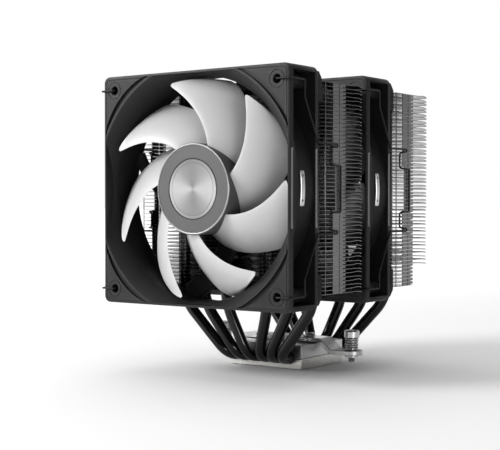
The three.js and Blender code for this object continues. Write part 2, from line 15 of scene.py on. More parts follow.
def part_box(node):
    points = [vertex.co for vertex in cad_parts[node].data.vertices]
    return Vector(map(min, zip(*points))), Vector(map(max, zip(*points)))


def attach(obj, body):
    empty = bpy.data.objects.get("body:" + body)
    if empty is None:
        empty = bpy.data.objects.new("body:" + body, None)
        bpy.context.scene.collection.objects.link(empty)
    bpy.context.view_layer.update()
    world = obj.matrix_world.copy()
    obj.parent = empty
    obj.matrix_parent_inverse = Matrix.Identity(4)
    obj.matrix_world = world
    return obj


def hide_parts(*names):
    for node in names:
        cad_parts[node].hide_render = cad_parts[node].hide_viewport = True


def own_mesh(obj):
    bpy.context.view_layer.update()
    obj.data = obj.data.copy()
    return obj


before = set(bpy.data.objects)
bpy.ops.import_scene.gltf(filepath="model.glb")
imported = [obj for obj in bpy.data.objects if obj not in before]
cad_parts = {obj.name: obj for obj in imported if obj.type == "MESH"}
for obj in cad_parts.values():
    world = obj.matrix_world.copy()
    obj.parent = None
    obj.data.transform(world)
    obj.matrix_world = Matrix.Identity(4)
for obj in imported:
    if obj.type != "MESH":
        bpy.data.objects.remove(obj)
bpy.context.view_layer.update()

MM = 0.001
TAU = 2 * math.pi


# ---------------------------------------------------------------- sizes, from the frame
def box_mm(node):
    """A CAD node's lowest and highest corners, in millimetres."""
    low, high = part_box(node)
    return [v / MM for v in low], [v / MM for v in high]


fan_low, fan_high = box_mm("front_fan_frame")
FAN_HALF = (fan_high[0] - fan_low[0]) / 2
FAN_DEPTH = fan_high[1] - fan_low[1]
FAN_Z = (fan_low[2] + fan_high[2]) / 2
FAN_Y = {"front": fan_low[1], "rear": box_mm("rear_fan_frame")[0][1]}
SIDES = {"left": -1, "right": 1}

HOLE_OFFSET = 52.5
HOLE_R = 2.2
THROAT_R = 57.5
MOUTH_R = 64.4  # the bell mouth's radius in the corners, where the square frame doesn't clip it
MOUTH_CLIP = 58.8  # half the square that clips it
FLANGE = 3.0
HUB_R = 23.35
BADGE_R = 15.35
BLADES = 7
TIP_R = 56.5
DUCT_R = 59.4  # outside
BOSS_R = 4.2
PAD_THICKNESS = 4.5

WIRE_R = 0.5
WIRE_X = box_mm("front_right_clip")[1][0] - WIRE_R
WIRE_NOTCH_Y = 37.2  # behind the fan's front face

fin_low, fin_high = box_mm("front_fin_stack")
FIN_HALF = fin_high[0]
FIN_DEPTH = fin_high[1] - fin_low[1]
FIN_BOTTOM = fin_low[2]
FIN_TOP = fin_high[2]
FIN_PITCH = 2.0
FIN_SHEET = 0.28
FIN_COUNT = int((FIN_TOP - FIN_BOTTOM) / FIN_PITCH + 1)
TOWER_Y = {"front": (fin_low[1] + fin_high[1]) / 2}
TOWER_Y["rear"] = -TOWER_Y["front"]
WALL_FRONT = -10.4  # the folded side wall, from the tower's centre line
WALL_REAR = 1.6
LOW_REAR_CUT = 12  # height over which the rear tower's fins stop at the side wall

PIPE_R = 3.0
PIPE_X_BASE = [-16.5, -9.9, -3.3, 3.3, 9.9, 16.5]
PIPE_X_FINS = [-43, -29, -14, 14, 29, 43]
PIPE_Y = 38.0
PIPE_AXIS_Z = 5.8
PIPE_TURN_Y, PIPE_TURN_Z = 32, 36  # ends of the slanted run before its corners are rounded
PIPE_BEND = 9.5
PIPE_TOP = box_mm("heatpipe_1")[1][2]

BASE_HALF_X, BASE_HALF_Y, BASE_TOP = box_mm("base_cap")[1]
BAR_THICKNESS = 2.5
SCREW_X = 43  # the spring screws
BAR_SCREW_X = 16


# ---------------------------------------------------------------- camera, floor and light
def aim(location, target):
    return (Vector(target) - Vector(location)).to_track_quat("-Z", "Y").to_euler()


def make_camera():
    data = bpy.data.cameras.new("camera")
    camera = bpy.data.objects.new("camera", data)
    bpy.context.scene.collection.objects.link(camera)
    camera.location = (0.3738, -0.5466, 0.0896)
    camera.rotation_euler = (math.radians(90 - 1.043), 0, math.radians(36.148))
    data.sensor_width = 36
    data.lens = 84.458
    data.clip_start = 0.01
    data.clip_end = 20
    bpy.context.scene.camera = camera


def area_light(name, location, target, size, power):
    data = bpy.data.lights.new(name, "AREA")
    data.shape = "RECTANGLE"
    data.size, data.size_y = size
    data.energy = power
    light = bpy.data.objects.new(name, data)
    light.location = location
    light.rotation_euler = aim(location, target)
    bpy.context.scene.collection.objects.link(light)


def make_world():
    """A studio dome: white behind the object and overhead, dim towards the front right."""
    world = bpy.data.worlds.new("studio")
    bpy.context.scene.world = world
    world.use_nodes = True
    tree = world.node_tree
    coords = tree.nodes.new("ShaderNodeTexCoord")

    def glow(direction, start, end, low, high):
        """Brightness that rises from low to high as the view turns towards a direction."""
        facing = tree.nodes.new("ShaderNodeVectorMath")
        facing.operation = "DOT_PRODUCT"
        facing.inputs[1].default_value = direction
        span = tree.nodes.new("ShaderNodeMapRange")
        span.interpolation_type = "SMOOTHSTEP"
        limits = {"From Min": start, "From Max": end, "To Min": low, "To Max": high}
        for key, value in limits.items():
            span.inputs[key].default_value = value
        tree.links.new(coords.outputs["Generated"], facing.inputs[0])
        tree.links.new(facing.outputs["Value"], span.inputs["Value"])
        return span.outputs["Result"]

    brighter = tree.nodes.new("ShaderNodeMath")
    brighter.operation = "MAXIMUM"
    tree.links.new(glow((-0.72, 0.69, 0), -0.1, 0.75, 0.08, 1.0), brighter.inputs[0])
    tree.links.new(glow((0, 0, 1), 0.4, 0.95, 0.0, 0.6), brighter.inputs[1])
    tree.links.new(brighter.outputs["Value"], tree.nodes["Background"].inputs["Strength"])
    tree.nodes["Background"].inputs["Color"].default_value = (1, 1, 1, 1)


def make_stage():
    make_world()
    bpy.context.scene.view_settings.view_transform = "Standard"
    middle = (0, 0, 0.09)
    area_light("key", (-0.95, -1.1, 0.75), middle, (0.7, 0.7), 24)
    area_light("side", (1.3, -0.75, 0.12), middle, (0.5, 0.25), 4)
    area_light("top", (-0.1, 0.2, 1.3), middle, (0.9, 0.9), 3)
    mesh = bpy.data.meshes.new("floor")
    reach = 30.0
    corners = [(-reach, -reach), (reach, -reach), (reach, reach), (-reach, reach)]
    mesh.from_pydata([(x, y, -0.0004) for x, y in corners], [], [(0, 1, 2, 3)])
    floor = bpy.data.objects.new("floor", mesh)
    bpy.context.scene.collection.objects.link(floor)
    mesh.materials.append(plain_floor())


def plain_floor():
    """A pale floor that glows far behind the object, like a lit sweep, and so meets the dome."""
    n = Nodes("pale_floor")
    behind = n.add("ShaderNodeVectorMath", operation="DOT_PRODUCT")
    behind.inputs[1].default_value = (-0.6, 0.8, 0)
    n.link(n.place, behind.inputs[0])
    glow = n.span(behind.outputs["Value"], 0, 0.75, 0.05, 1.6, interpolation_type="SMOOTHSTEP")
    n.feed(Emission_Strength=glow)
    n.constant(Base_Color=(0.93, 0.93, 0.93, 1), Roughness=0.7, Emission_Color=(1, 1, 1, 1))
    return n.mat


# ---------------------------------------------------------------- materials
class Nodes:
    """A short way to write a shader tree."""

    def __init__(self, name):
        self.mat = bpy.data.materials.new(name)
        self.mat.use_nodes = True
        self.tree = self.mat.node_tree
        self.shader = self.tree.nodes["Principled BSDF"]
        coords = self.tree.nodes.new("ShaderNodeTexCoord")
        self.place = coords.outputs["Object"]

    def add(self, kind, **settings):
        node = self.tree.nodes.new(kind)
        for key, value in settings.items():
            setattr(node, key, value)
        return node

    def link(self, output, target):
        self.tree.links.new(output, target)

    def stretched(self, scale):
        """The object's coordinates, scaled by a different amount along each axis."""
        mapping = self.add("ShaderNodeMapping")
        mapping.inputs["Scale"].default_value = scale
        self.link(self.place, mapping.inputs["Vector"])
        return mapping.outputs["Vector"]

    def noise(self, vector, scale, detail=3.0, roughness=0.55):
        node = self.add("ShaderNodeTexNoise")
        node.inputs["Scale"].default_value = scale
        node.inputs["Detail"].default_value = detail
        node.inputs["Roughness"].default_value = roughness
        self.link(vector, node.inputs["Vector"])
        return node.outputs["Fac"]

    def ramp(self, fac, low, high, dark, light):
        node = self.add("ShaderNodeValToRGB")
        node.color_ramp.elements[0].position = low
        node.color_ramp.elements[1].position = high
        node.color_ramp.elements[0].color = (*dark, 1)
        node.color_ramp.elements[1].color = (*light, 1)
        self.link(fac, node.inputs["Fac"])
        return node.outputs["Color"]

    def span(self, value, low, high, start=0.0, end=1.0, **settings):
        """The value from start to end, mapped to low to high."""
        node = self.add("ShaderNodeMapRange", **settings)
        limits = {"From Min": start, "From Max": end, "To Min": low, "To Max": high}
        for key, limit in limits.items():
            node.inputs[key].default_value = limit
        self.link(value, node.inputs["Value"])
        return node.outputs["Result"]

    def mix(self, fac, a, b):
        node = self.add("ShaderNodeMix", data_type="RGBA")
        self.link(fac, node.inputs["Factor"])
        self.link(a, node.inputs[6])
        if hasattr(b, "links"):
            self.link(b, node.inputs[7])
        else:
            node.inputs[7].default_value = (*b, 1)
        return node.outputs[2]

    def bump(self, height, strength, distance):
        node = self.add("ShaderNodeBump")
        node.inputs["Strength"].default_value = strength
        node.inputs["Distance"].default_value = distance
        self.link(height, node.inputs["Height"])
        self.link(node.outputs["Normal"], self.shader.inputs["Normal"])

    def edges(self, low, high):
        """How sharply the surface turns outwards, from 0 to 1."""
        geometry = self.add("ShaderNodeNewGeometry")
        return self.span(geometry.outputs["Pointiness"], 0, 1, low, high)

    def split(self):
        """The object's coordinates, one output for each axis."""
        node = self.add("ShaderNodeSeparateXYZ")
        self.link(self.place, node.inputs["Vector"])
        return node.outputs

    def feed(self, **outputs):
        for key, output in outputs.items():
            self.link(output, self.shader.inputs[key.replace("_", " ")])

    def constant(self, **values):
        for key, value in values.items():
            self.shader.inputs[key.replace("_", " ")].default_value = value


def grey(value, tint=(1, 1, 1)):
    return tuple(value * t for t in tint)


def moulded_plastic(name, shade, spread, roughness, grain, worn, specular=0.5, duct=None):
    """Moulded plastic: mottled a little, spark-eroded grain, edges paler where hands rub them."""
    n = Nodes(name)
    cloud = n.noise(n.place, 60)
    colour = n.ramp(cloud, 0.3, 0.7, grey(shade - spread), grey(shade + spread))
    if worn is not None:
        colour = n.mix(n.edges(0.53, 0.62), colour, grey(worn))
    rough = n.span(n.noise(n.place, 180), roughness - 0.06, roughness + 0.08)
    n.feed(Base_Color=colour, Roughness=rough)
    n.bump(n.noise(n.place, 2600, 2), grain, 0.00008)
    n.constant(Specular_IOR_Level=specular)
    if duct is not None:
        # Painted shade: the specular level falls with depth behind the front face, so the duct and the
        # faces behind it reflect less and look shaded.
        n.feed(Specular_IOR_Level=n.span(n.split()["Y"], specular, duct, 0.0005, 0.006))
    return n.mat


def rolled_metal(name, shade, spread, roughness, stretch, grain, tint=(1, 1, 1), edge=None):
    """Rolled, drawn or milled metal: fine lines along one direction, clouded by handling."""
    n = Nodes(name)
    lines = n.noise(n.stretched(stretch), 1, 4)
    cloud = n.noise(n.place, 35)
    colour = n.ramp(cloud, 0.3, 0.7, grey(shade - spread, tint), grey(shade + spread, tint))
    dark, light = grey(shade * 0.82, tint), grey(min(shade * 1.12, 0.98), tint)
    streaked = n.ramp(lines, 0.35, 0.65, dark, light)
    blend = n.add("ShaderNodeMix", data_type="RGBA", blend_type="MULTIPLY")
    blend.inputs["Factor"].default_value = 0.5
    n.link(colour, blend.inputs[6])
    n.link(streaked, blend.inputs[7])
    out = blend.outputs[2]
    if edge is not None:
        out = n.mix(n.edges(0.53, 0.6), out, grey(edge, tint))
    n.feed(Base_Color=out, Roughness=n.span(lines, roughness - 0.07, roughness + 0.1))
    n.bump(lines, grain, 0.00004)
    n.constant(Metallic=1.0)
    return n.mat


def spun_metal(name, shade, roughness, pitch, strength):
    """A face turned on a lathe about the object's Y axis: rings, with a glint along its radii."""
    n = Nodes(name)
    split = n.split()
    flat = n.add("ShaderNodeCombineXYZ")
    n.link(split["X"], flat.inputs["X"])
    n.link(split["Z"], flat.inputs["Z"])
    length = n.add("ShaderNodeVectorMath", operation="LENGTH")
    n.link(flat.outputs["Vector"], length.inputs[0])
    rings = n.add("ShaderNodeTexNoise", noise_dimensions="1D")
    rings.inputs["Scale"].default_value = 1 / pitch
    rings.inputs["Detail"].default_value = 3
    n.link(length.outputs["Value"], rings.inputs["W"])
    cloud = n.noise(n.place, 50)
    colour = n.ramp(cloud, 0.3, 0.7, grey(shade * 0.94), grey(shade))
    rough = n.span(rings.outputs["Fac"], roughness - 0.06, roughness + 0.08)
    n.bump(rings.outputs["Fac"], strength, 0.00003)
    tangent = n.add("ShaderNodeTangent", direction_type="RADIAL", axis="Y")
    n.feed(Base_Color=colour, Roughness=rough, Tangent=tangent.outputs["Tangent"])
    n.constant(Metallic=1.0, Anisotropic=0.5)
    return n.mat


def coated_gloss(name, shade, roughness, coat, scratch, specular):
    """Black nickel or oxide on metal: a gloss coat over fine drawn scratches, with faint dust."""
    n = Nodes(name)
    lines = n.noise(n.stretched((300, 300, 30)), 1, 4)
    dust = n.noise(n.place, 900, 2)
    colour = n.ramp(dust, 0.45, 0.8, grey(shade), grey(shade * 1.9))
    n.feed(Base_Color=colour, Roughness=n.span(lines, roughness - 0.05, roughness + 0.1))
    n.bump(lines, scratch, 0.00004)
    n.constant(Coat_Weight=coat, Coat_Roughness=0.12, Specular_IOR_Level=specular)
    return n.mat


def rubber(name, shade):
    """Matt black rubber with a fine grain."""
    n = Nodes(name)
    colour = n.ramp(n.noise(n.place, 120), 0.3, 0.7, grey(shade * 0.7), grey(shade * 1.5))
    n.feed(Base_Color=colour, Roughness=n.span(n.noise(n.place, 700), 0.68, 0.9))
    n.bump(n.noise(n.place, 3200, 2), 0.5, 0.0001)
    n.constant(Specular_IOR_Level=0.3)
    return n.mat


def circuit_board(name):
    """Green solder mask over faint square tracks."""
    n = Nodes(name)
    brick = n.add("ShaderNodeTexBrick")
    brick.inputs["Scale"].default_value = 260
    brick.inputs["Color1"].default_value = (0.012, 0.10, 0.035, 1)
    brick.inputs["Color2"].default_value = (0.016, 0.13, 0.045, 1)
    brick.inputs["Mortar"].default_value = (0.03, 0.2, 0.07, 1)
    n.link(n.place, brick.inputs["Vector"])
    rough = n.span(n.noise(n.place, 300), 0.3, 0.5)
    n.feed(Base_Color=brick.outputs["Color"], Roughness=rough)
    n.bump(brick.outputs["Fac"], 0.3, 0.00005)
    return n.mat


WARM, BRONZE, COPPER = (1, 0.985, 0.95), (1, 0.72, 0.42), (1, 0.5, 0.28)
MATERIALS = {
    # frame_plastic: painted shade in the duct, by a specular level that falls with depth behind the
    # front face.
    "frame": moulded_plastic("frame_plastic", 0.012, 0.002, 0.48, 0.35, 0.03, 0.3, duct=0.1),
    # The grip ribs are moulded in the frame's near-black plastic; this light grey, with paler edges,
    # is a painted highlight for the glints they catch.
    "ribs": moulded_plastic("rib_plastic_painted_highlight", 0.26, 0.04, 0.45, 0.3, 0.4),
    "blade": moulded_plastic("blade_plastic", 0.58, 0.012, 0.36, 0.10, 0.54),
    "hub": moulded_plastic("hub_plastic", 0.085, 0.006, 0.42, 0.25, None),
    "rim": rolled_metal("polished_rim", 0.42, 0.03, 0.36, (200, 200, 200), 0.05),
    "badge": spun_metal("spun_badge", 0.27, 0.46, 0.00022, 0.3),
    "side_badge": rolled_metal("side_badge_metal", 0.6, 0.03, 0.3, (900, 900, 60), 0.15, edge=0.9),
    "mark": moulded_plastic("badge_mark", 0.12, 0.01, 0.5, 0.2, 0.14),
    "pad": rubber("pad_rubber", 0.012),
    "fin": rolled_metal("fin_sheet", 0.34, 0.03, 0.2, (60, 900, 400), 0.15),
    "tab": rolled_metal("fin_tabs", 0.34, 0.03, 0.34, (400, 60, 900), 0.2),
    "pipe": coated_gloss("pipe_coating", 0.003, 0.1, 0.1, 0.06, 0.3),
    "wire": coated_gloss("clip_wire", 0.004, 0.42, 0.0, 0.25, 0.25),
    "nickel": rolled_metal("nickel_plate", 0.66, 0.03, 0.24, (50, 1500, 50), 0.2, WARM, 0.8),
    "cap": rolled_metal("milled_cap", 0.56, 0.04, 0.34, (1200, 60, 200), 0.25, edge=0.75),
    "steel": rolled_metal("plated_steel", 0.6, 0.03, 0.28, (700, 80, 300), 0.2, edge=0.8),
    "magnet": moulded_plastic("magnet_ferrite", 0.06, 0.01, 0.6, 0.5, 0.1),
    "bronze": rolled_metal("sintered_bronze", 0.5, 0.05, 0.45, (900, 900, 900), 0.5, BRONZE),
    "copper": rolled_metal("enamelled_copper", 0.55, 0.06, 0.3, (300, 3000, 300), 0.8, COPPER),
    "board": circuit_board("circuit_board"),
}


# ---------------------------------------------------------------- mesh helpers, in millimetres
def mesh_object(name, verts, faces, smooth=38, merge=0.0005):
    """A closed mesh object made from millimetre points, shaded smooth below an edge angle."""
    bm = bmesh.new()
    made = [bm.verts.new(Vector(v) * MM) for v in verts]
    for face in faces:
        corners = [made[i] for i in face]
        if len(set(corners)) > 2:
            try:
                bm.faces.new(corners)
            except ValueError:
                pass
    bmesh.ops.remove_doubles(bm, verts=bm.verts, dist=merge * MM)
    bmesh.ops.dissolve_degenerate(bm, edges=bm.edges, dist=1e-8)
    bmesh.ops.recalc_face_normals(bm, faces=bm.faces)
    mesh = bpy.data.meshes.new(name)
    bm.to_mesh(mesh)
    bm.free()
    shade(mesh, smooth)
    obj = bpy.data.objects.new(name, mesh)
    bpy.context.scene.collection.objects.link(obj)
    return obj


def shade(mesh, angle):
    mesh.polygons.foreach_set("use_smooth", [True] * len(mesh.polygons))
    mesh.set_sharp_from_angle(angle=math.radians(angle))


def lathe_shape(profile, segments, axis="Y", centre=(0, 0)):
    """A closed profile of (radius, along) points turned about an axis."""
    verts = []
    count = len(profile)
    for s in range(segments):
        a = TAU * s / segments
        for r, along in profile:
            u, v = centre[0] + r * math.cos(a), centre[1] + r * math.sin(a)
            verts.append((u, along, v) if axis == "Y" else (u, v, along))
    faces = []
    for s in range(segments):
        t = (s + 1) % segments
        for i in range(count):
            j = (i + 1) % count
            if profile[i][0] == 0 and profile[j][0] == 0:
                continue
            faces.append((s * count + i, s * count + j, t * count + j, t * count + i))
    return verts, faces


def lathe(name, profile, segments, axis="Y", centre=(0, 0), smooth=38):
    return mesh_object(name, *lathe_shape(profile, segments, axis, centre), smooth=smooth)


def prism_shape(outline, low, high, holes=(), axis="Y"):
    """Flat outlines of (u, v) points, extruded along an axis from low to high."""
    loops = [outline, *holes]
    flat = [point for loop in loops for point in loop]
    triangles = tessellate_polygon([[Vector((u, v, 0)) for u, v in loop] for loop in loops])

    def put(u, v, along):
        return (u, along, v) if axis == "Y" else (u, v, along)

    verts = [put(u, v, low) for u, v in flat] + [put(u, v, high) for u, v in flat]
    count = len(flat)
    faces = [tuple(t) for t in triangles]
    faces += [tuple(i + count for i in reversed(t)) for t in triangles]
    start = 0
    for loop in loops:
        for i in range(len(loop)):
            a, b = start + i, start + (i + 1) % len(loop)
            faces.append((a, b, b + count, a + count))
        start += len(loop)
    return verts, faces


def prism(name, outline, low, high, holes=(), axis="Y", smooth=38):
    return mesh_object(name, *prism_shape(outline, low, high, holes, axis), smooth=smooth)


def arc(radius, start, end, steps, centre=(0, 0)):
    """Points on an arc, angles in degrees, both ends included."""
    return [
        (
            centre[0] + radius * math.cos(math.radians(start + (end - start) * i / steps)),
            centre[1] + radius * math.sin(math.radians(start + (end - start) * i / steps)),
        )
        for i in range(steps + 1)
    ]


def on_circle(radius, angle):
    return radius * math.cos(math.radians(angle)), radius * math.sin(math.radians(angle))


def circle(radius, steps, centre=(0, 0)):
    return arc(radius, 0, 360 * (steps - 1) / steps, steps - 1, centre)


def rounded_square(half, radius, steps=8):
    inner = half - radius
    points = []
    for quarter, (sx, sy) in enumerate([(1, 1), (-1, 1), (-1, -1), (1, -1)]):
        points += arc(radius, 90 * quarter, 90 * quarter + 90, steps, (sx * inner, sy * inner))
    return points


def box_shape(low, high):
    x0, y0, z0 = low
    x1, y1, z1 = high
    verts = [(x, y, z) for z in (z0, z1) for y in (y0, y1) for x in (x0, x1)]
    faces = [(0, 2, 3, 1), (4, 5, 7, 6), (0, 1, 5, 4), (2, 6, 7, 3), (0, 4, 6, 2), (1, 3, 7, 5)]
    return verts, faces


def merged(shapes):
    """Several (verts, faces) shapes as one."""
    verts, faces = [], []
    for v, f in shapes:
        base = len(verts)
        verts += v
        faces += [tuple(i + base for i in face) for face in f]
    return verts, faces


def skin(rows, count, ends=True):
    """The faces that join rows of points, each a closed loop of the same count."""
    faces = [tuple(range(count)), tuple(range((rows - 1) * count, rows * count))] if ends else []
    for a in range(0, (rows - 1) * count, count):
        b = a + count
        for i in range(count):
            j = (i + 1) % count
            faces.append((a + i, a + j, b + j, b + i))
    return faces


def loft(name, loops, smooth=38):
    """Closed loops of equal length skinned in order, with flat ends."""
    verts = [p for loop in loops for p in loop]
    return mesh_object(name, verts, skin(len(loops), len(loops[0])), smooth=smooth)


def apply_modifiers(obj, smooth=38):
    deps = bpy.context.evaluated_depsgraph_get()
    mesh = bpy.data.meshes.new_from_object(obj.evaluated_get(deps))
    obj.modifiers.clear()
    obj.data = mesh
    shade(mesh, smooth)


def combine(target, tools, operation):
    """Cuts, joins or meets the target with each tool, which is used up."""
    for tool in tools:
        mod = target.modifiers.new("cut", "BOOLEAN")
        mod.operation = operation
        mod.solver = "EXACT"
        mod.object = tool
        apply_modifiers(target)
        bpy.data.objects.remove(tool)
    return target


def bevel(obj, width, segments=2, angle=40):
    mod = obj.modifiers.new("bevel", "BEVEL")
    mod.width = width * MM
    mod.segments = segments
    mod.limit_method = "ANGLE"
    mod.angle_limit = math.radians(angle)
    mod.harden_normals = False
    return obj


def piece(obj, body, material, replaces=(), at=(0, 0, 0)):
    """Gives a finished mesh its place, body and material, and hides the CAD parts that it replaces."""
    obj.location = Vector(at) * MM
    obj.data.materials.clear()
    obj.data.materials.append(MATERIALS[material])
    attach(obj, body)
    if replaces:
        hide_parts(*replaces)
    return obj


def copy_of(obj, name):
    """A second object that shares the first one's mesh."""
    twin = bpy.data.objects.new(name, obj.data)
    bpy.context.scene.collection.objects.link(twin)
    return twin


# ---------------------------------------------------------------- round wire and pipe
def rounded_path(corners, radius, steps=6):
    """Straight runs with each corner turned on an arc-like curve."""
    points = [Vector(c) for c in corners]
    path = [points[0]]
    for before, here, after in zip(points, points[1:], points[2:]):
        back, on = before - here, after - here
        reach = min(radius, back.length * 0.48, on.length * 0.48)
        start = here + back.normalized() * reach
        end = here + on.normalized() * reach
        for i in range(steps + 1):
            t = i / steps
            path.append(start * (1 - t) ** 2 + here * 2 * t * (1 - t) + end * t**2)
    path.append(points[-1])
    return path


def tube_shape(path, radius, sides=16, taper=None):
    """A round tube along a path, closed at both ends. taper gives the radius at each point."""
    count = len(path)
    tangents = []
    for i in range(count):
        ahead = path[min(i + 1, count - 1)] - path[max(i - 1, 0)]
        tangents.append(ahead.normalized())
    normal = tangents[0].orthogonal().normalized()
    verts = []
    for i, point in enumerate(path):
        normal = (normal - tangents[i] * normal.dot(tangents[i])).normalized()
        across = tangents[i].cross(normal)
        r = taper[i] if taper else radius
        for s in range(sides):
            a = TAU * s / sides
            verts.append(tuple(point + normal * (r * math.cos(a)) + across * (r * math.sin(a))))
    return verts, skin(count, sides)


# ---------------------------------------------------------------- fan frame
STRUTS = [(72, 6.2), (162, 6.2), (251, 10.6), (342, 6.2)]  # outer end's angle, width
STRUT_SWEEP = 1.05  # degrees of turn per millimetre of radius
CORNERS = [(sx, sz) for sx in (-1, 1) for sz in (-1, 1)]


def strut_mesh(outer_angle, width):
    """A strut that sweeps outwards from the motor mount, with its front edges chamfered."""
    inner, outer, steps, chamfer = 18, 58.6, 14, 0.8
    half, front, rear = width / 2, FAN_DEPTH - 3.6, FAN_DEPTH - 0.4
    section = [(-half, front + chamfer), (chamfer - half, front)]
    section += [(half - chamfer, front), (half, front + chamfer), (half, rear), (-half, rear)]
    loops = []
    for i in range(steps + 1):
        r = inner + (outer - inner) * i / steps
        angle = outer_angle + STRUT_SWEEP * (THROAT_R - r)
        lean = math.atan(r * math.radians(STRUT_SWEEP))
        x, z = on_circle(r, angle)
        across = math.radians(angle) - lean + math.pi / 2
        loops.append([(x + u * math.cos(across), y, z + u * math.sin(across)) for u, y in section])
    return loft("strut", loops)


def fan_frame_mesh(name):
    """A square fan frame: flanges, open sides, clipped bell mouth, corner pockets, motor mount."""
    edge = [(0, 0.75), (0.22, 0.22), (0.75, 0), (FAN_DEPTH - 0.75, 0), (FAN_DEPTH - 0.22, 0.22)]
    edge.append((FAN_DEPTH, 0.75))
    loops = []
    for y, inset in edge:
        outline = rounded_square(FAN_HALF - inset, 3.5 - inset)
        loops.append([(x, y, z) for x, z in outline])
    frame_obj = loft(name, loops)

    # The open sides, around the duct and the corner bosses.
    rim = FAN_HALF - FLANGE
    low, high = (-FAN_HALF - 2, FLANGE, -rim), (FAN_HALF + 2, FAN_DEPTH - FLANGE, rim)
    recess = mesh_object("recess", *box_shape(low, high))
    duct_wall = [(0, 0), (67.5, 0), (DUCT_R, 8.1), (DUCT_R, FAN_DEPTH), (0, FAN_DEPTH)]
    duct = lathe("duct", duct_wall, 96)
    boss = [(0, 0), (BOSS_R, 0), (BOSS_R, 13), (3.6, 14), (3.6, 30), (0, 30)]
    bosses = []
    for sx, sz in CORNERS:
        centre = (sx * HOLE_OFFSET, sz * HOLE_OFFSET)
        bosses.append(lathe("boss", boss, 32, centre=centre))
    combine(recess, [duct, *bosses], "DIFFERENCE")
    combine(frame_obj, [recess], "DIFFERENCE")

    # The bell mouth is round in the corners and clipped square along the edges.
    mouth = [(0, -0.5), (MOUTH_R + 0.5, -0.5), (MOUTH_R, 0), (MOUTH_R - 0.35, 0.25)]
    mouth += [(60.4, 4.2), (58.6, 6.1), (57.8, 7.4), (THROAT_R, 9), (THROAT_R, 18)]
    mouth += [(58.2, FAN_DEPTH + 1), (0, FAN_DEPTH + 1)]
    bore = lathe("bore", mouth, 160)
    clip = prism("clip", rounded_square(MOUTH_CLIP, 8, 10), -2, FAN_DEPTH + 2)
    combine(bore, [clip], "INTERSECT")
    combine(frame_obj, [bore], "DIFFERENCE")

    # The corners' holes, each with a ring round it, and the crescent pockets beside the mouth.
    hole = [(0, -1), (HOLE_R + 1.2, -1), (HOLE_R + 0.25, 0), (HOLE_R, 0.25)]
    hole += [(HOLE_R, FAN_DEPTH + 1), (0, FAN_DEPTH + 1)]
    ring = [(4.15, -1), (4.45, -1), (4.45, 0.35), (4.15, 0.35)]
    half_angle, inner_r, width = 19, 65.7, 2.8
    cuts = []
    for sx, sz in CORNERS:
        centre = (sx * HOLE_OFFSET, sz * HOLE_OFFSET)
        cuts.append(lathe("hole", hole, 32, centre=centre))
        cuts.append(lathe("ring", ring, 40, centre=centre))
        middle = math.degrees(math.atan2(sz, sx))
        steps = [half_angle * (k / 9 - 1) for k in range(19)]
        bulge = [inner_r + width * (1 - (a / half_angle) ** 2) ** 0.7 + 0.02 for a in steps]
        outline = [on_circle(r, middle + a) for r, a in zip(bulge, steps)]
        outline += [on_circle(inner_r, middle - a) for a in steps]
        cuts.append(prism("pocket", outline, -1, 1.4))
    groove_out = rounded_square(58.35, 2.6)
    groove_in = rounded_square(58.05, 2.3)
    cuts.append(prism("groove", groove_out, -1, 0.35, holes=[list(reversed(groove_in))]))
    combine(frame_obj, cuts, "DIFFERENCE")

    # Motor mount and its struts.
    mount = [(0, 21.4), (20.6, 21.4), (21, 21.8), (21, 23.9), (20.4, 24.5), (0, 24.5)]
    tools = [lathe("mount", mount, 64)]
    tools += [strut_mesh(angle, width) for angle, width in STRUTS]
    tools.append(lathe("bearing_tube", [(4.3, 5.5), (5.8, 5.5), (5.8, 22), (4.3, 22)], 32))
    combine(frame_obj, tools, "UNION")
    shade(frame_obj.data, 32)
    return frame_obj


def edge_ribs_mesh(name):
    """Zig-zag grip ribs on both flanges, on the left and right edges of the frame."""
    pitch, half_run, width = 1.2, 19.2, 0.32
    shapes = []
    for side in (-1, 1):
        for y0, y1 in ((0.9, 2.7), (22.3, 24.1)):
            steps = int(2 * half_run / (pitch / 2))
            line = [(y0 if i % 2 else y1, -half_run + i * pitch / 2) for i in range(steps + 1)]
            x_in, x_out = side * (FAN_HALF - 0.1), side * (FAN_HALF + 0.14)
            verts = []
            for y, z in line:
                verts += [(x_in, y, z - width), (x_in, y, z + width)]
                verts += [(x_out, y, z + width * 0.6), (x_out, y, z - width * 0.6)]
            shapes.append((verts, skin(steps + 1, 4)))
    return mesh_object(name, *merged(shapes), smooth=20)


# ---------------------------------------------------------------- rotor
TIP_ANGLE = 108
LEAD_SWEEP, LEAD_BEND = 38, 1.1
TIP_CHORD, TRAIL_SWEEP, TRAIL_BEND = 37, 61, 1.45
LEAD_Y, TRAIL_Y = 3.0, 18.2
CAMBER = -2.2  # towards the front
LEAD_ROUND = 2.2
TRAIL_ROUND = 7.5


def tip_rounding(r, radius):
    """The angle that a corner of the given radius takes off a blade's edge near the tip."""
    near = max(0, (r - (TIP_R - radius)) / radius)
    return math.degrees(radius * (1 - math.sqrt(max(0, 1 - near * near))) / r)


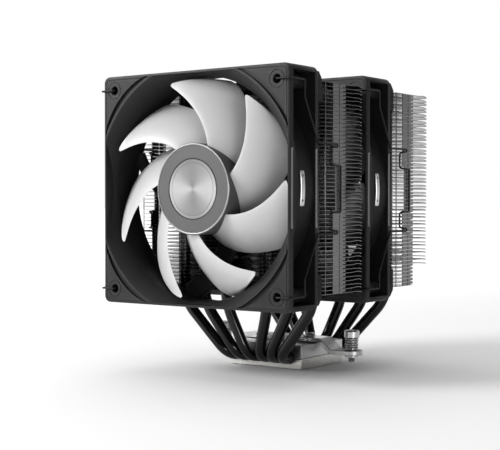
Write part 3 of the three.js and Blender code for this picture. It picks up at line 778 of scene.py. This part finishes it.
def blade_shape(turn, rows=22, cols=22):
    """One swept blade as a closed skin round its thin section, from inside the hub to the tip."""
    verts = []
    for i in range(rows + 1):
        f = i / rows
        r = (HUB_R - 0.8) + (TIP_R - HUB_R + 0.8) * (1 - (1 - f) ** 1.25)
        inward = max((TIP_R - r) / (TIP_R - HUB_R), 0)
        lead = TIP_ANGLE - LEAD_SWEEP * inward**LEAD_BEND
        trail = TIP_ANGLE - TIP_CHORD - TRAIL_SWEEP * inward**TRAIL_BEND
        lead -= tip_rounding(r, LEAD_ROUND)
        trail += tip_rounding(r, TRAIL_ROUND)
        thick = 2.3 - 1.1 * (r - HUB_R) / (TIP_R - HUB_R)
        run = math.radians(lead - trail) * r
        rise = TRAIL_Y - LEAD_Y
        norm = math.hypot(run, rise)
        loop = []
        for side in (1, -1):
            for j in range(cols):
                u = (j / cols) if side == 1 else 1 - j / cols
                half = side * thick * 0.5 * (1 - abs(2 * u - 1) ** 3.2) ** 0.6
                shift = half + CAMBER * 4 * u * (1 - u)
                along = u * run + shift * rise / norm
                y = LEAD_Y + rise * u + shift * run / norm
                a = math.radians(lead + turn) - along / r
                loop.append((r * math.cos(a), y, r * math.sin(a)))
        verts += loop
    return verts, skin(rows + 1, 2 * cols)


def blades_mesh(name):
    """Seven blades on the thin drum that the hub cap covers."""
    inner, outer = HUB_R - 1.4, HUB_R - 0.35
    drum = lathe_shape([(inner, 3), (outer, 3), (outer, 19.4), (inner, 19.4)], 96)
    blades = [blade_shape(360 / BLADES * i) for i in range(BLADES)]
    return mesh_object(name, *merged([drum, *blades]), smooth=50)


def hub_mesh(name):
    """The hub cap: side wall, a flat front ring, and the recess that the badge sits in."""
    profile = [(0, 1.75), (BADGE_R + 0.25, 1.75), (BADGE_R + 0.25, 0.95), (BADGE_R + 0.45, 0.75)]
    profile += [(HUB_R - 1.15, 0.75), (HUB_R - 1.0, 0.95), (HUB_R - 0.15, 0.95), (HUB_R, 1.2)]
    profile += [(HUB_R, 19.2), (HUB_R - 0.3, 19.5), (HUB_R - 0.3, 19.45), (HUB_R - 0.3, 3.2), (0, 3.2)]
    return lathe(name, profile, 128)


def hub_rim_mesh(name):
    rim = [(HUB_R - 1.0, 0.9), (HUB_R - 0.95, 0.66), (HUB_R - 0.8, 0.58)]
    rim += [(HUB_R - 0.3, 0.66), (HUB_R - 0.08, 0.95)]
    return lathe(name, rim, 128)


def badge_mesh(name):
    """A shallow dished disc with a bright turned edge and one turned line near it."""
    r = BADGE_R
    profile = [(0, 1.4), (0, 0.92), (r * 0.5, 0.86), (r - 2.2, 0.76), (r - 2.1, 0.86), (r - 1.9, 0.86)]
    profile += [(r - 1.8, 0.74), (r - 0.35, 0.68), (r, 0.95), (r, 1.4)]
    return lathe(name, profile, 128)


def pill_strip(name, loops):
    """Skins loops in order and closes the ends with strips across their short way."""
    count = len(loops[0])
    verts = [p for loop in loops for p in loop]
    faces = skin(len(loops), count, ends=False)
    for base in (0, (len(loops) - 1) * count):
        flat = [Vector((y, z, 0)) for _, y, z in verts[base : base + count]]
        faces += [tuple(base + i for i in t) for t in tessellate_polygon([flat])]
    return mesh_object(name, verts, faces)


def side_badge_meshes(name, side):
    """A strip bent round the duct, with a plain dot and an airflow arrow standing on it."""
    half, half_width, end_r, middle = 8.7, 1.7, 0.8, 11.4

    def on_duct(radius, y, z):
        return (side * math.sqrt(radius**2 - z**2), y, z)

    def outline(inset):
        right, top = half_width - inset, half - inset
        reach = end_r - inset / 2
        runs = [(right - reach, top - reach, 0), (reach - right, top - reach, 90)]
        runs += [(reach - right, reach - top, 180), (right - reach, reach - top, 270)]
        loop = []
        for cy, cz, start in runs:
            loop += arc(reach, start, start + 90, 5, (middle + cy, cz))
        return loop

    def bent(outline_points, radius):
        """The outline with its long edges divided, so that they follow the duct."""
        points = []
        for (y0, z0), (y1, z1) in zip(outline_points, outline_points[1:] + outline_points[:1]):
            steps = max(1, round(abs(z1 - z0) / 1.2))
            for k in range(steps):
                points.append((y0 + (y1 - y0) * k / steps, z0 + (z1 - z0) * k / steps))
        return [on_duct(radius, y, z) for y, z in points]

    plain = outline(0)
    rows = [(plain, 59.5), (plain, 60.05), (outline(0.18), 60.22)]
    strip = pill_strip(name, [bent(points, radius) for points, radius in rows])
    dot = circle(0.4, 20, (middle, half - 2.4))
    ring = circle(0.75, 24, (middle, half - 2.4))
    arrow = [(middle - 0.8, -half + 1.9), (middle + 0.9, -half + 2.8), (middle - 0.8, -half + 3.7)]

    def across(points, holes=()):
        verts, faces = prism_shape(points, 60.15, 60.3, holes)
        return [on_duct(radius, y, z) for y, radius, z in verts], faces

    marks = merged([across(ring, [list(reversed(dot))]), across(arrow)])
    return strip, mesh_object(name + "_marks", *marks)


# ---------------------------------------------------------------- pads and clips
def pad_mesh(name, sx, sz):
    """A rubber corner pad, cut off at the corner, with three moulded ribs on its outer side."""
    outer, inner = FAN_HALF - 0.7, FAN_HALF - 17
    outline = [(inner, inner), (outer, inner), (outer, outer - 5)]
    outline += [(outer - 1.8, outer - 1), (inner, outer - 1)]
    outline = [(sx * x, sz * z) for x, z in outline]
    pad = prism(name, outline, FAN_DEPTH + 0.05, FAN_DEPTH + PAD_THICKNESS - 0.05)
    ribs = []
    x0, x1 = sorted((sx * (outer - 0.5), sx * (outer + 0.35)))
    for i in range(3):
        z = inner + 2.2 + 2.6 * i
        z0, z1 = sorted((sz * z, sz * (z + 1.2)))
        low, high = (x0, FAN_DEPTH + 0.5, z0), (x1, FAN_DEPTH + 4.0, z1)
        ribs.append(mesh_object("rib", *box_shape(low, high)))
    combine(pad, ribs, "UNION")
    return bevel(pad, 0.35, 3)


def clip_mesh(name, side):
    """The spring wire clip: hooks in the front holes, hairpins on the wall, handle between."""
    hook = HOLE_OFFSET
    notch_x = WIRE_X - 1.9
    half = [
        (hook, 3.6, hook),
        (hook, -0.85, hook),
        (WIRE_X, -0.85, hook),
        (WIRE_X, 11.6, hook),
        (WIRE_X, 11.6, 44),
        (WIRE_X, 23.5, 22.6),
        (WIRE_X, 41.5, 22.6),
        (WIRE_X, 41.5, 21.0),
        (WIRE_X, WIRE_NOTCH_Y, 21.0),
        (notch_x, WIRE_NOTCH_Y, 20.2),
        (notch_x, WIRE_NOTCH_Y, 12.6),
        (WIRE_X, WIRE_NOTCH_Y, 11.8),
        (WIRE_X, 44.6, 11.8),
    ]
    mirrored = [(x, y, -z) for x, y, z in reversed(half)]
    corners = [(side * x, y, z) for x, y, z in half + mirrored]
    return mesh_object(name, *tube_shape(rounded_path(corners, 1.0), WIRE_R, 14), smooth=60)


def build_fan(name, twin):
    """One fan with its pads and clips. twin holds the first fan's objects, whose meshes are shared."""
    at = (0, FAN_Y[name], FAN_Z)
    body, spin = "cooler", f"{name}_fan_rotor"

    def get(key, make):
        obj = copy_of(twin[key], f"{name}_{key}") if key in twin else make(f"{name}_{key}")
        twin.setdefault(key, obj)
        return obj

    piece(get("frame_shell", fan_frame_mesh), body, "frame", [f"{name}_fan_frame"], at)
    piece(get("edge_ribs", edge_ribs_mesh), body, "ribs", (), at)
    piece(get("blades", blades_mesh), spin, "blade", [f"{name}_rotor"], at)
    piece(get("hub_cap", hub_mesh), spin, "hub", [f"{name}_rotor"], at)
    piece(get("hub_rim", hub_rim_mesh), spin, "rim", (), at)
    piece(get("spun_badge", badge_mesh), spin, "badge", [f"{name}_hub_badge"], at)
    for side_name, side in SIDES.items():
        key = f"{side_name}_badge_strip"
        if key in twin:
            strip = copy_of(twin[key], f"{name}_{key}")
            marks = copy_of(twin[key + "_marks"], f"{name}_{key}_marks")
        else:
            strip, marks = side_badge_meshes(f"{name}_{key}", side)
            twin[key], twin[key + "_marks"] = strip, marks
        piece(strip, body, "side_badge", [f"{name}_{side_name}_side_badge"], at)
        piece(marks, body, "mark", (), at)
        for level, sz in (("top", 1), ("bottom", -1)):
            pad = get(f"{side_name}_{level}_rubber_pad", lambda n, s=side, z=sz: pad_mesh(n, s, z))
            if not pad.modifiers:
                bevel(pad, 0.35, 3)
            piece(pad, body, "pad", [f"{name}_{side_name}_{level}_pad"], at)
        clip = get(f"{side_name}_wire_clip", lambda n, s=side: clip_mesh(n, s))
        piece(clip, f"{name}_{side_name}_wire", "wire", [f"{name}_{side_name}_clip"], at)


# ---------------------------------------------------------------- fin stacks
# The rear ends of neighbouring fins wave differently: (from the tower's centre, rise) in pairs.
FIN_WAVES = [
    [(7, 0), (10, 0), (13, 0), (15.5, -0.1), (17.5, -0.45), (19.5, -0.85)],
    [(7, 0), (10, 0.15), (13, 0.4), (15.5, 0.3), (17.5, -0.1), (19.5, -0.6)],
]
WAVE_START = 7


def fin_front(half_x, half_y, notch, rear):
    """The flat front of a fin: chamfered corners, and the notches that the clips' wires lie in."""
    wire_y = WIRE_NOTCH_Y - FAN_DEPTH - PAD_THICKNESS - half_y
    depth, reach = 2.6, 0.8
    right = [(half_x - 3.2, -half_y), (half_x, -half_y + 1.9)]
    if notch:
        lip = half_x - 0.9
        right += [(half_x, wire_y - reach - 0.5), (lip, wire_y - reach)]
        right += [(half_x - depth, wire_y - reach), (half_x - depth, wire_y + reach)]
        right += [(half_x, wire_y + reach)]
    right += [(half_x, rear)]
    return right + [(-x, y) for x, y in reversed(right)]


def fin_shape(z, outline, holes, wave):
    """One fin: a flat tessellated front, then strips across it that follow the wave."""
    loops = [outline, *holes]
    flat = [point for loop in loops for point in loop]
    triangles = tessellate_polygon([[Vector((x, y, 0)) for x, y in loop] for loop in loops])
    count = len(flat)
    verts = [(x, y, z) for x, y in flat] + [(x, y, z + FIN_SHEET) for x, y in flat]
    faces = [tuple(t) for t in triangles] + [tuple(i + count for i in t) for t in triangles]
    rear_right = outline.index((FIN_HALF, WAVE_START)) if wave else -1
    start = 0
    for loop in loops:
        for i in range(len(loop)):
            a, b = start + i, start + (i + 1) % len(loop)
            if start == 0 and i == rear_right:
                continue
            faces.append((a, b, b + count, a + count))
        start += len(loop)
    if not wave:
        return verts, faces
    row = [rear_right, rear_right + 1, rear_right + 1 + count, rear_right + count]
    for y, rise in wave[1:]:
        x = FIN_HALF - (1.0 if y == wave[-1][0] else 0)
        base = len(verts)
        low, high = z + rise, z + rise + FIN_SHEET
        verts += [(x, y, low), (-x, y, low), (-x, y, high), (x, y, high)]
        made = [base, base + 1, base + 2, base + 3]
        faces += [(row[k], row[(k + 1) % 4], made[(k + 1) % 4], made[k]) for k in range(4)]
        row = made
    faces.append(tuple(row))
    return verts, faces


def fin_stack_mesh(name, towards):
    """54 thin fins with pressed collars round the pipes."""
    half_y = FIN_DEPTH / 2
    pipe_y = towards * PIPE_Y - TOWER_Y[name.split("_")[0]]
    shapes = []
    for i in range(FIN_COUNT):
        z = FIN_BOTTOM + FIN_PITCH * i
        in_notch = 11 < abs(z - FAN_Z) < 22.5
        cut = towards > 0 and z < FIN_BOTTOM + LOW_REAR_CUT
        outline = fin_front(FIN_HALF, half_y, in_notch, WALL_REAR if cut else WAVE_START)
        holes = [list(reversed(circle(PIPE_R + 0.1, 16, (x, pipe_y)))) for x in PIPE_X_FINS]
        has_pipes = not cut or pipe_y + PIPE_R < WALL_REAR
        wave = None if cut else FIN_WAVES[i % 2]
        shapes.append(fin_shape(z, outline, holes if has_pipes else [], wave))
        if has_pipes:
            collar = [(PIPE_R + 0.06, z + 0.1), (PIPE_R + 0.4, z + 0.1)]
            collar += [(PIPE_R + 0.3, z + 1.5), (PIPE_R + 0.06, z + 1.5)]
            shapes += [lathe_shape(collar, 14, "Z", (x, pipe_y)) for x in PIPE_X_FINS]
    return mesh_object(name, *merged(shapes), smooth=30, merge=0.0)


def side_walls_mesh(name):
    """The tabs that are folded from the fins' sides and close up into two walls."""
    shapes = []
    for i in range(FIN_COUNT - 1):
        z = FIN_BOTTOM + FIN_PITCH * i
        cut_back = 2.0 if abs(z - FAN_Z) < 12.6 else 0.0
        for side in (-1, 1):
            shapes += wall_tabs(side, z + FIN_SHEET, cut_back)
    return mesh_object(name, *merged(shapes), smooth=30, merge=0.0)


def wall_tabs(side, z, cut_back):
    """One level of the side wall: a front and a rear tab with a slot between them."""
    top = FIN_PITCH - FIN_SHEET - 0.1
    groove = -4.3
    front_edge = -FIN_DEPTH / 2 + 2
    tabs = [
        (front_edge, front_edge + 0.45, 0.0, top),
        (WALL_FRONT + cut_back, groove - 0.3, 0.0, top),
        (groove + 0.3, WALL_REAR - 2.6, 0.0, top),
        (WALL_REAR - 2.6, WALL_REAR, 0.5, top),
    ]
    shapes = []
    for y0, y1, low, high in tabs:
        x = sorted((side * (FIN_HALF - 0.4), side * FIN_HALF))
        shapes.append(box_shape((x[0], y0, z + low), (x[1], y1, z + high)))
    return shapes


def build_fins():
    for tower, towards in (("front", -1), ("rear", 1)):
        stack = fin_stack_mesh(f"{tower}_fins", towards)
        at = (0, TOWER_Y[tower], 0)
        piece(stack, "cooler", "fin", [f"{tower}_fin_stack"], at)
        walls = side_walls_mesh(f"{tower}_folded_tabs")
        piece(walls, "cooler", "tab", [f"{tower}_fin_stack"], at)


# ---------------------------------------------------------------- heat pipes
def pipe_path(index):
    """The U of one pipe: base run, slanted runs that splay to the fins' holes, tapered tips."""
    base_x, fin_x = PIPE_X_BASE[index], PIPE_X_FINS[index]
    taper = [(4.2, 3.0), (3.4, 2.85), (2.2, 2.2), (1.2, 1.75), (0.5, 1.45), (0.12, 0.95), (0, 0.3)]
    corners = [(base_x, PIPE_TURN_Y, PIPE_AXIS_Z), (fin_x, PIPE_Y, PIPE_TURN_Z)]
    corners.append((fin_x, PIPE_Y, PIPE_TOP - 6))
    mirrored = [(x, -y, z) for x, y, z in reversed(corners)]
    run = rounded_path(mirrored + corners, PIPE_BEND, 14)
    tip = [Vector((fin_x, PIPE_Y, PIPE_TOP - down)) for down, _ in taper]
    front_tip = [Vector((p.x, -p.y, p.z)) for p in reversed(tip)]
    radii = [r for _, r in reversed(taper)] + [PIPE_R] * len(run) + [r for _, r in taper]
    return front_tip + run + tip, radii


def build_pipes():
    for index in range(len(PIPE_X_BASE)):
        path, radii = pipe_path(index)
        shape = tube_shape(path, PIPE_R, 28, radii)
        pipe = mesh_object(f"heat_pipe_tube_{index + 1}", *shape, smooth=50)
        piece(pipe, "cooler", "pipe", [f"heatpipe_{index + 1}"])


# ---------------------------------------------------------------- base, crossbar and screws
def base_block(name, low, high, corner):
    signs = ((-1, -1), (1, -1), (1, 1), (-1, 1))
    outline = [(sx * BASE_HALF_X, sy * BASE_HALF_Y) for sx, sy in signs]
    block = prism(name, outline, low, high, axis="Z")
    grooves = []
    for x in PIPE_X_BASE:
        reach = BASE_HALF_Y + 3
        section = [(0, -reach), (PIPE_R + 0.08, -reach), (PIPE_R + 0.08, reach), (0, reach)]
        grooves.append(lathe("groove", section, 36, centre=(x, PIPE_AXIS_Z)))
    combine(block, grooves, "DIFFERENCE")
    return bevel(block, corner, 3)


def build_base():
    plate = base_block("cold_plate_milled", 0, PIPE_AXIS_Z - 0.05, 0.4)
    piece(plate, "cooler", "nickel", ["cold_plate"])
    cap = base_block("base_cap_milled", PIPE_AXIS_Z + 0.05, BASE_TOP, 0.6)
    piece(cap, "cooler", "cap", ["base_cap"])


def crossbar_mesh(name):
    """A strip whose rounded ends step down beside the base."""
    low, high = box_mm("crossbar")
    reach, half_width = high[0], high[1]
    top, bottom, thick = high[2], low[2], BAR_THICKNESS
    right = [(BASE_HALF_X + 2, top), (BASE_HALF_X + 9, bottom + thick), (reach, bottom + thick)]
    right += [(reach, bottom), (BASE_HALF_X + 8, bottom), (BASE_HALF_X + 1, top - thick)]
    outline = right + [(-x, z) for x, z in reversed(right)]
    bar = prism(name, outline, -half_width, half_width)
    plan = arc(half_width, -90, 90, 16, (reach - half_width, 0))
    plan += arc(half_width, 90, 270, 16, (half_width - reach, 0))
    keep = prism("keep", plan, 0, 30, axis="Z")
    combine(bar, [keep], "INTERSECT")
    holes = []
    for side in (-1, 1):
        for x, r in ((SCREW_X, 2.3), (BAR_SCREW_X, 1.7)):
            holes.append(lathe("hole", [(0, 0), (r, 0), (r, 30), (0, 30)], 32, "Z", (side * x, 0)))
    combine(bar, holes, "DIFFERENCE")
    return bevel(bar, 0.3, 2)


def cross_recess(x, z, depth, span, width):
    """The cutter of a cross-shaped driver recess."""
    a = mesh_object("slot", *box_shape((x - span, -width, z - depth), (x + span, width, z + 1)))
    b = mesh_object("slot", *box_shape((x - width, -span, z - depth), (x + width, span, z + 1)))
    return [a, b]


def spring_screw_mesh(name, node, side):
    low, high = box_mm(node)
    x = side * SCREW_X
    top, head_r = high[2], (high[0] - low[0]) / 2
    under = top - 4
    profile = [(0, low[2]), (1.4, low[2]), (1.9, low[2] + 0.6)]
    for i in range(7):
        z = low[2] + 0.6 + 0.45 * i
        profile += [(1.9, z), (1.6, z + 0.22)]
    profile += [(1.9, low[2] + 4), (1.9, under), (head_r - 0.3, under), (head_r, under + 0.3)]
    profile += [(head_r, top - 0.6), (head_r - 0.5, top), (0, top)]
    screw = lathe(name, profile, 48, "Z", (x, 0))
    combine(screw, cross_recess(x, top, 1.8, 2.6, 0.55), "DIFFERENCE")
    return screw


def bar_screw_mesh(name, node, side):
    low, high = box_mm(node)
    x, top = side * BAR_SCREW_X, high[2]
    profile = [(0, low[2]), (1.4, low[2]), (1.4, top - 1.8), (2.8, top - 1.8), (3, top - 1.5)]
    profile += [(2.7, top - 0.7), (1.9, top - 0.15), (0, top)]
    screw = lathe(name, profile, 40, "Z", (x, 0))
    combine(screw, cross_recess(x, top, 1.0, 1.5, 0.35), "DIFFERENCE")
    return screw


def spring_mesh(name, node, side):
    """A compression spring with closed end turns."""
    low, high = box_mm(node)
    wire, mean_r = 0.45, 3.3
    bottom, top = low[2] + wire, high[2] - wire
    turns, steps = 5.5, 24
    total = int(turns * steps)
    path = []
    for i in range(total + 1):
        f = i / total
        rise = min(max((f - 0.12) / 0.76, 0), 1)
        a = TAU * turns * f
        x, y = side * SCREW_X + mean_r * math.cos(a), mean_r * math.sin(a)
        path.append(Vector((x, y, bottom + (top - bottom) * rise)))
    return mesh_object(name, *tube_shape(path, wire, 10), smooth=60)


def ring_mesh(name, node, side):
    """An open retaining ring that snaps round the shank."""
    low, high = box_mm(node)
    centre = (side * SCREW_X, 0)
    outline = arc(3.7, 25, 335, 40, centre) + arc(2.2, 335, 25, 40, centre)
    return bevel(prism(name, outline, low[2] + 0.05, high[2] - 0.05, axis="Z"), 0.12, 2)


def build_mounting():
    piece(crossbar_mesh("crossbar_strip"), "cooler", "steel", ["crossbar"])
    for name, side in SIDES.items():
        bar_screw = bar_screw_mesh(f"{name}_bar_screw_head", f"{name}_bar_screw", side)
        piece(bar_screw, "cooler", "steel", [f"{name}_bar_screw"])
        screw = spring_screw_mesh(f"{name}_spring_screw_turned", f"{name}_spring_screw", side)
        piece(screw, f"{name}_screw", "steel", [f"{name}_spring_screw"])
        ring = ring_mesh(f"{name}_snap_ring", f"{name}_retaining_ring", side)
        piece(ring, f"{name}_plunger", "steel", [f"{name}_retaining_ring"])
        spring = spring_mesh(f"{name}_coil_spring", f"{name}_spring", side)
        piece(spring, "cooler", "steel", [f"{name}_spring"])
        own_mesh(spring)


# ---------------------------------------------------------------- CAD pieces that stay
def finish_motor_parts():
    """The motors' inner pieces keep their CAD shape."""
    looks = {
        "magnet_ring": "magnet",
        "shaft": "steel",
        "bearing_sleeve": "bronze",
        "stator_core": "steel",
        "coil_bobbin": "copper",
        "motor_board": "board",
    }
    for fan in FAN_Y:
        for part, look in looks.items():
            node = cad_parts[f"{fan}_{part}"]
            if not node.material_slots:
                node.data.materials.append(None)
            for slot in node.material_slots:
                slot.link = "OBJECT"
                slot.material = MATERIALS[look]


make_camera()
make_stage()
twins = {}
for fan_name in FAN_Y:
    build_fan(fan_name, twins)
build_fins()
build_pipes()
build_base()
build_mounting()
finish_motor_parts()
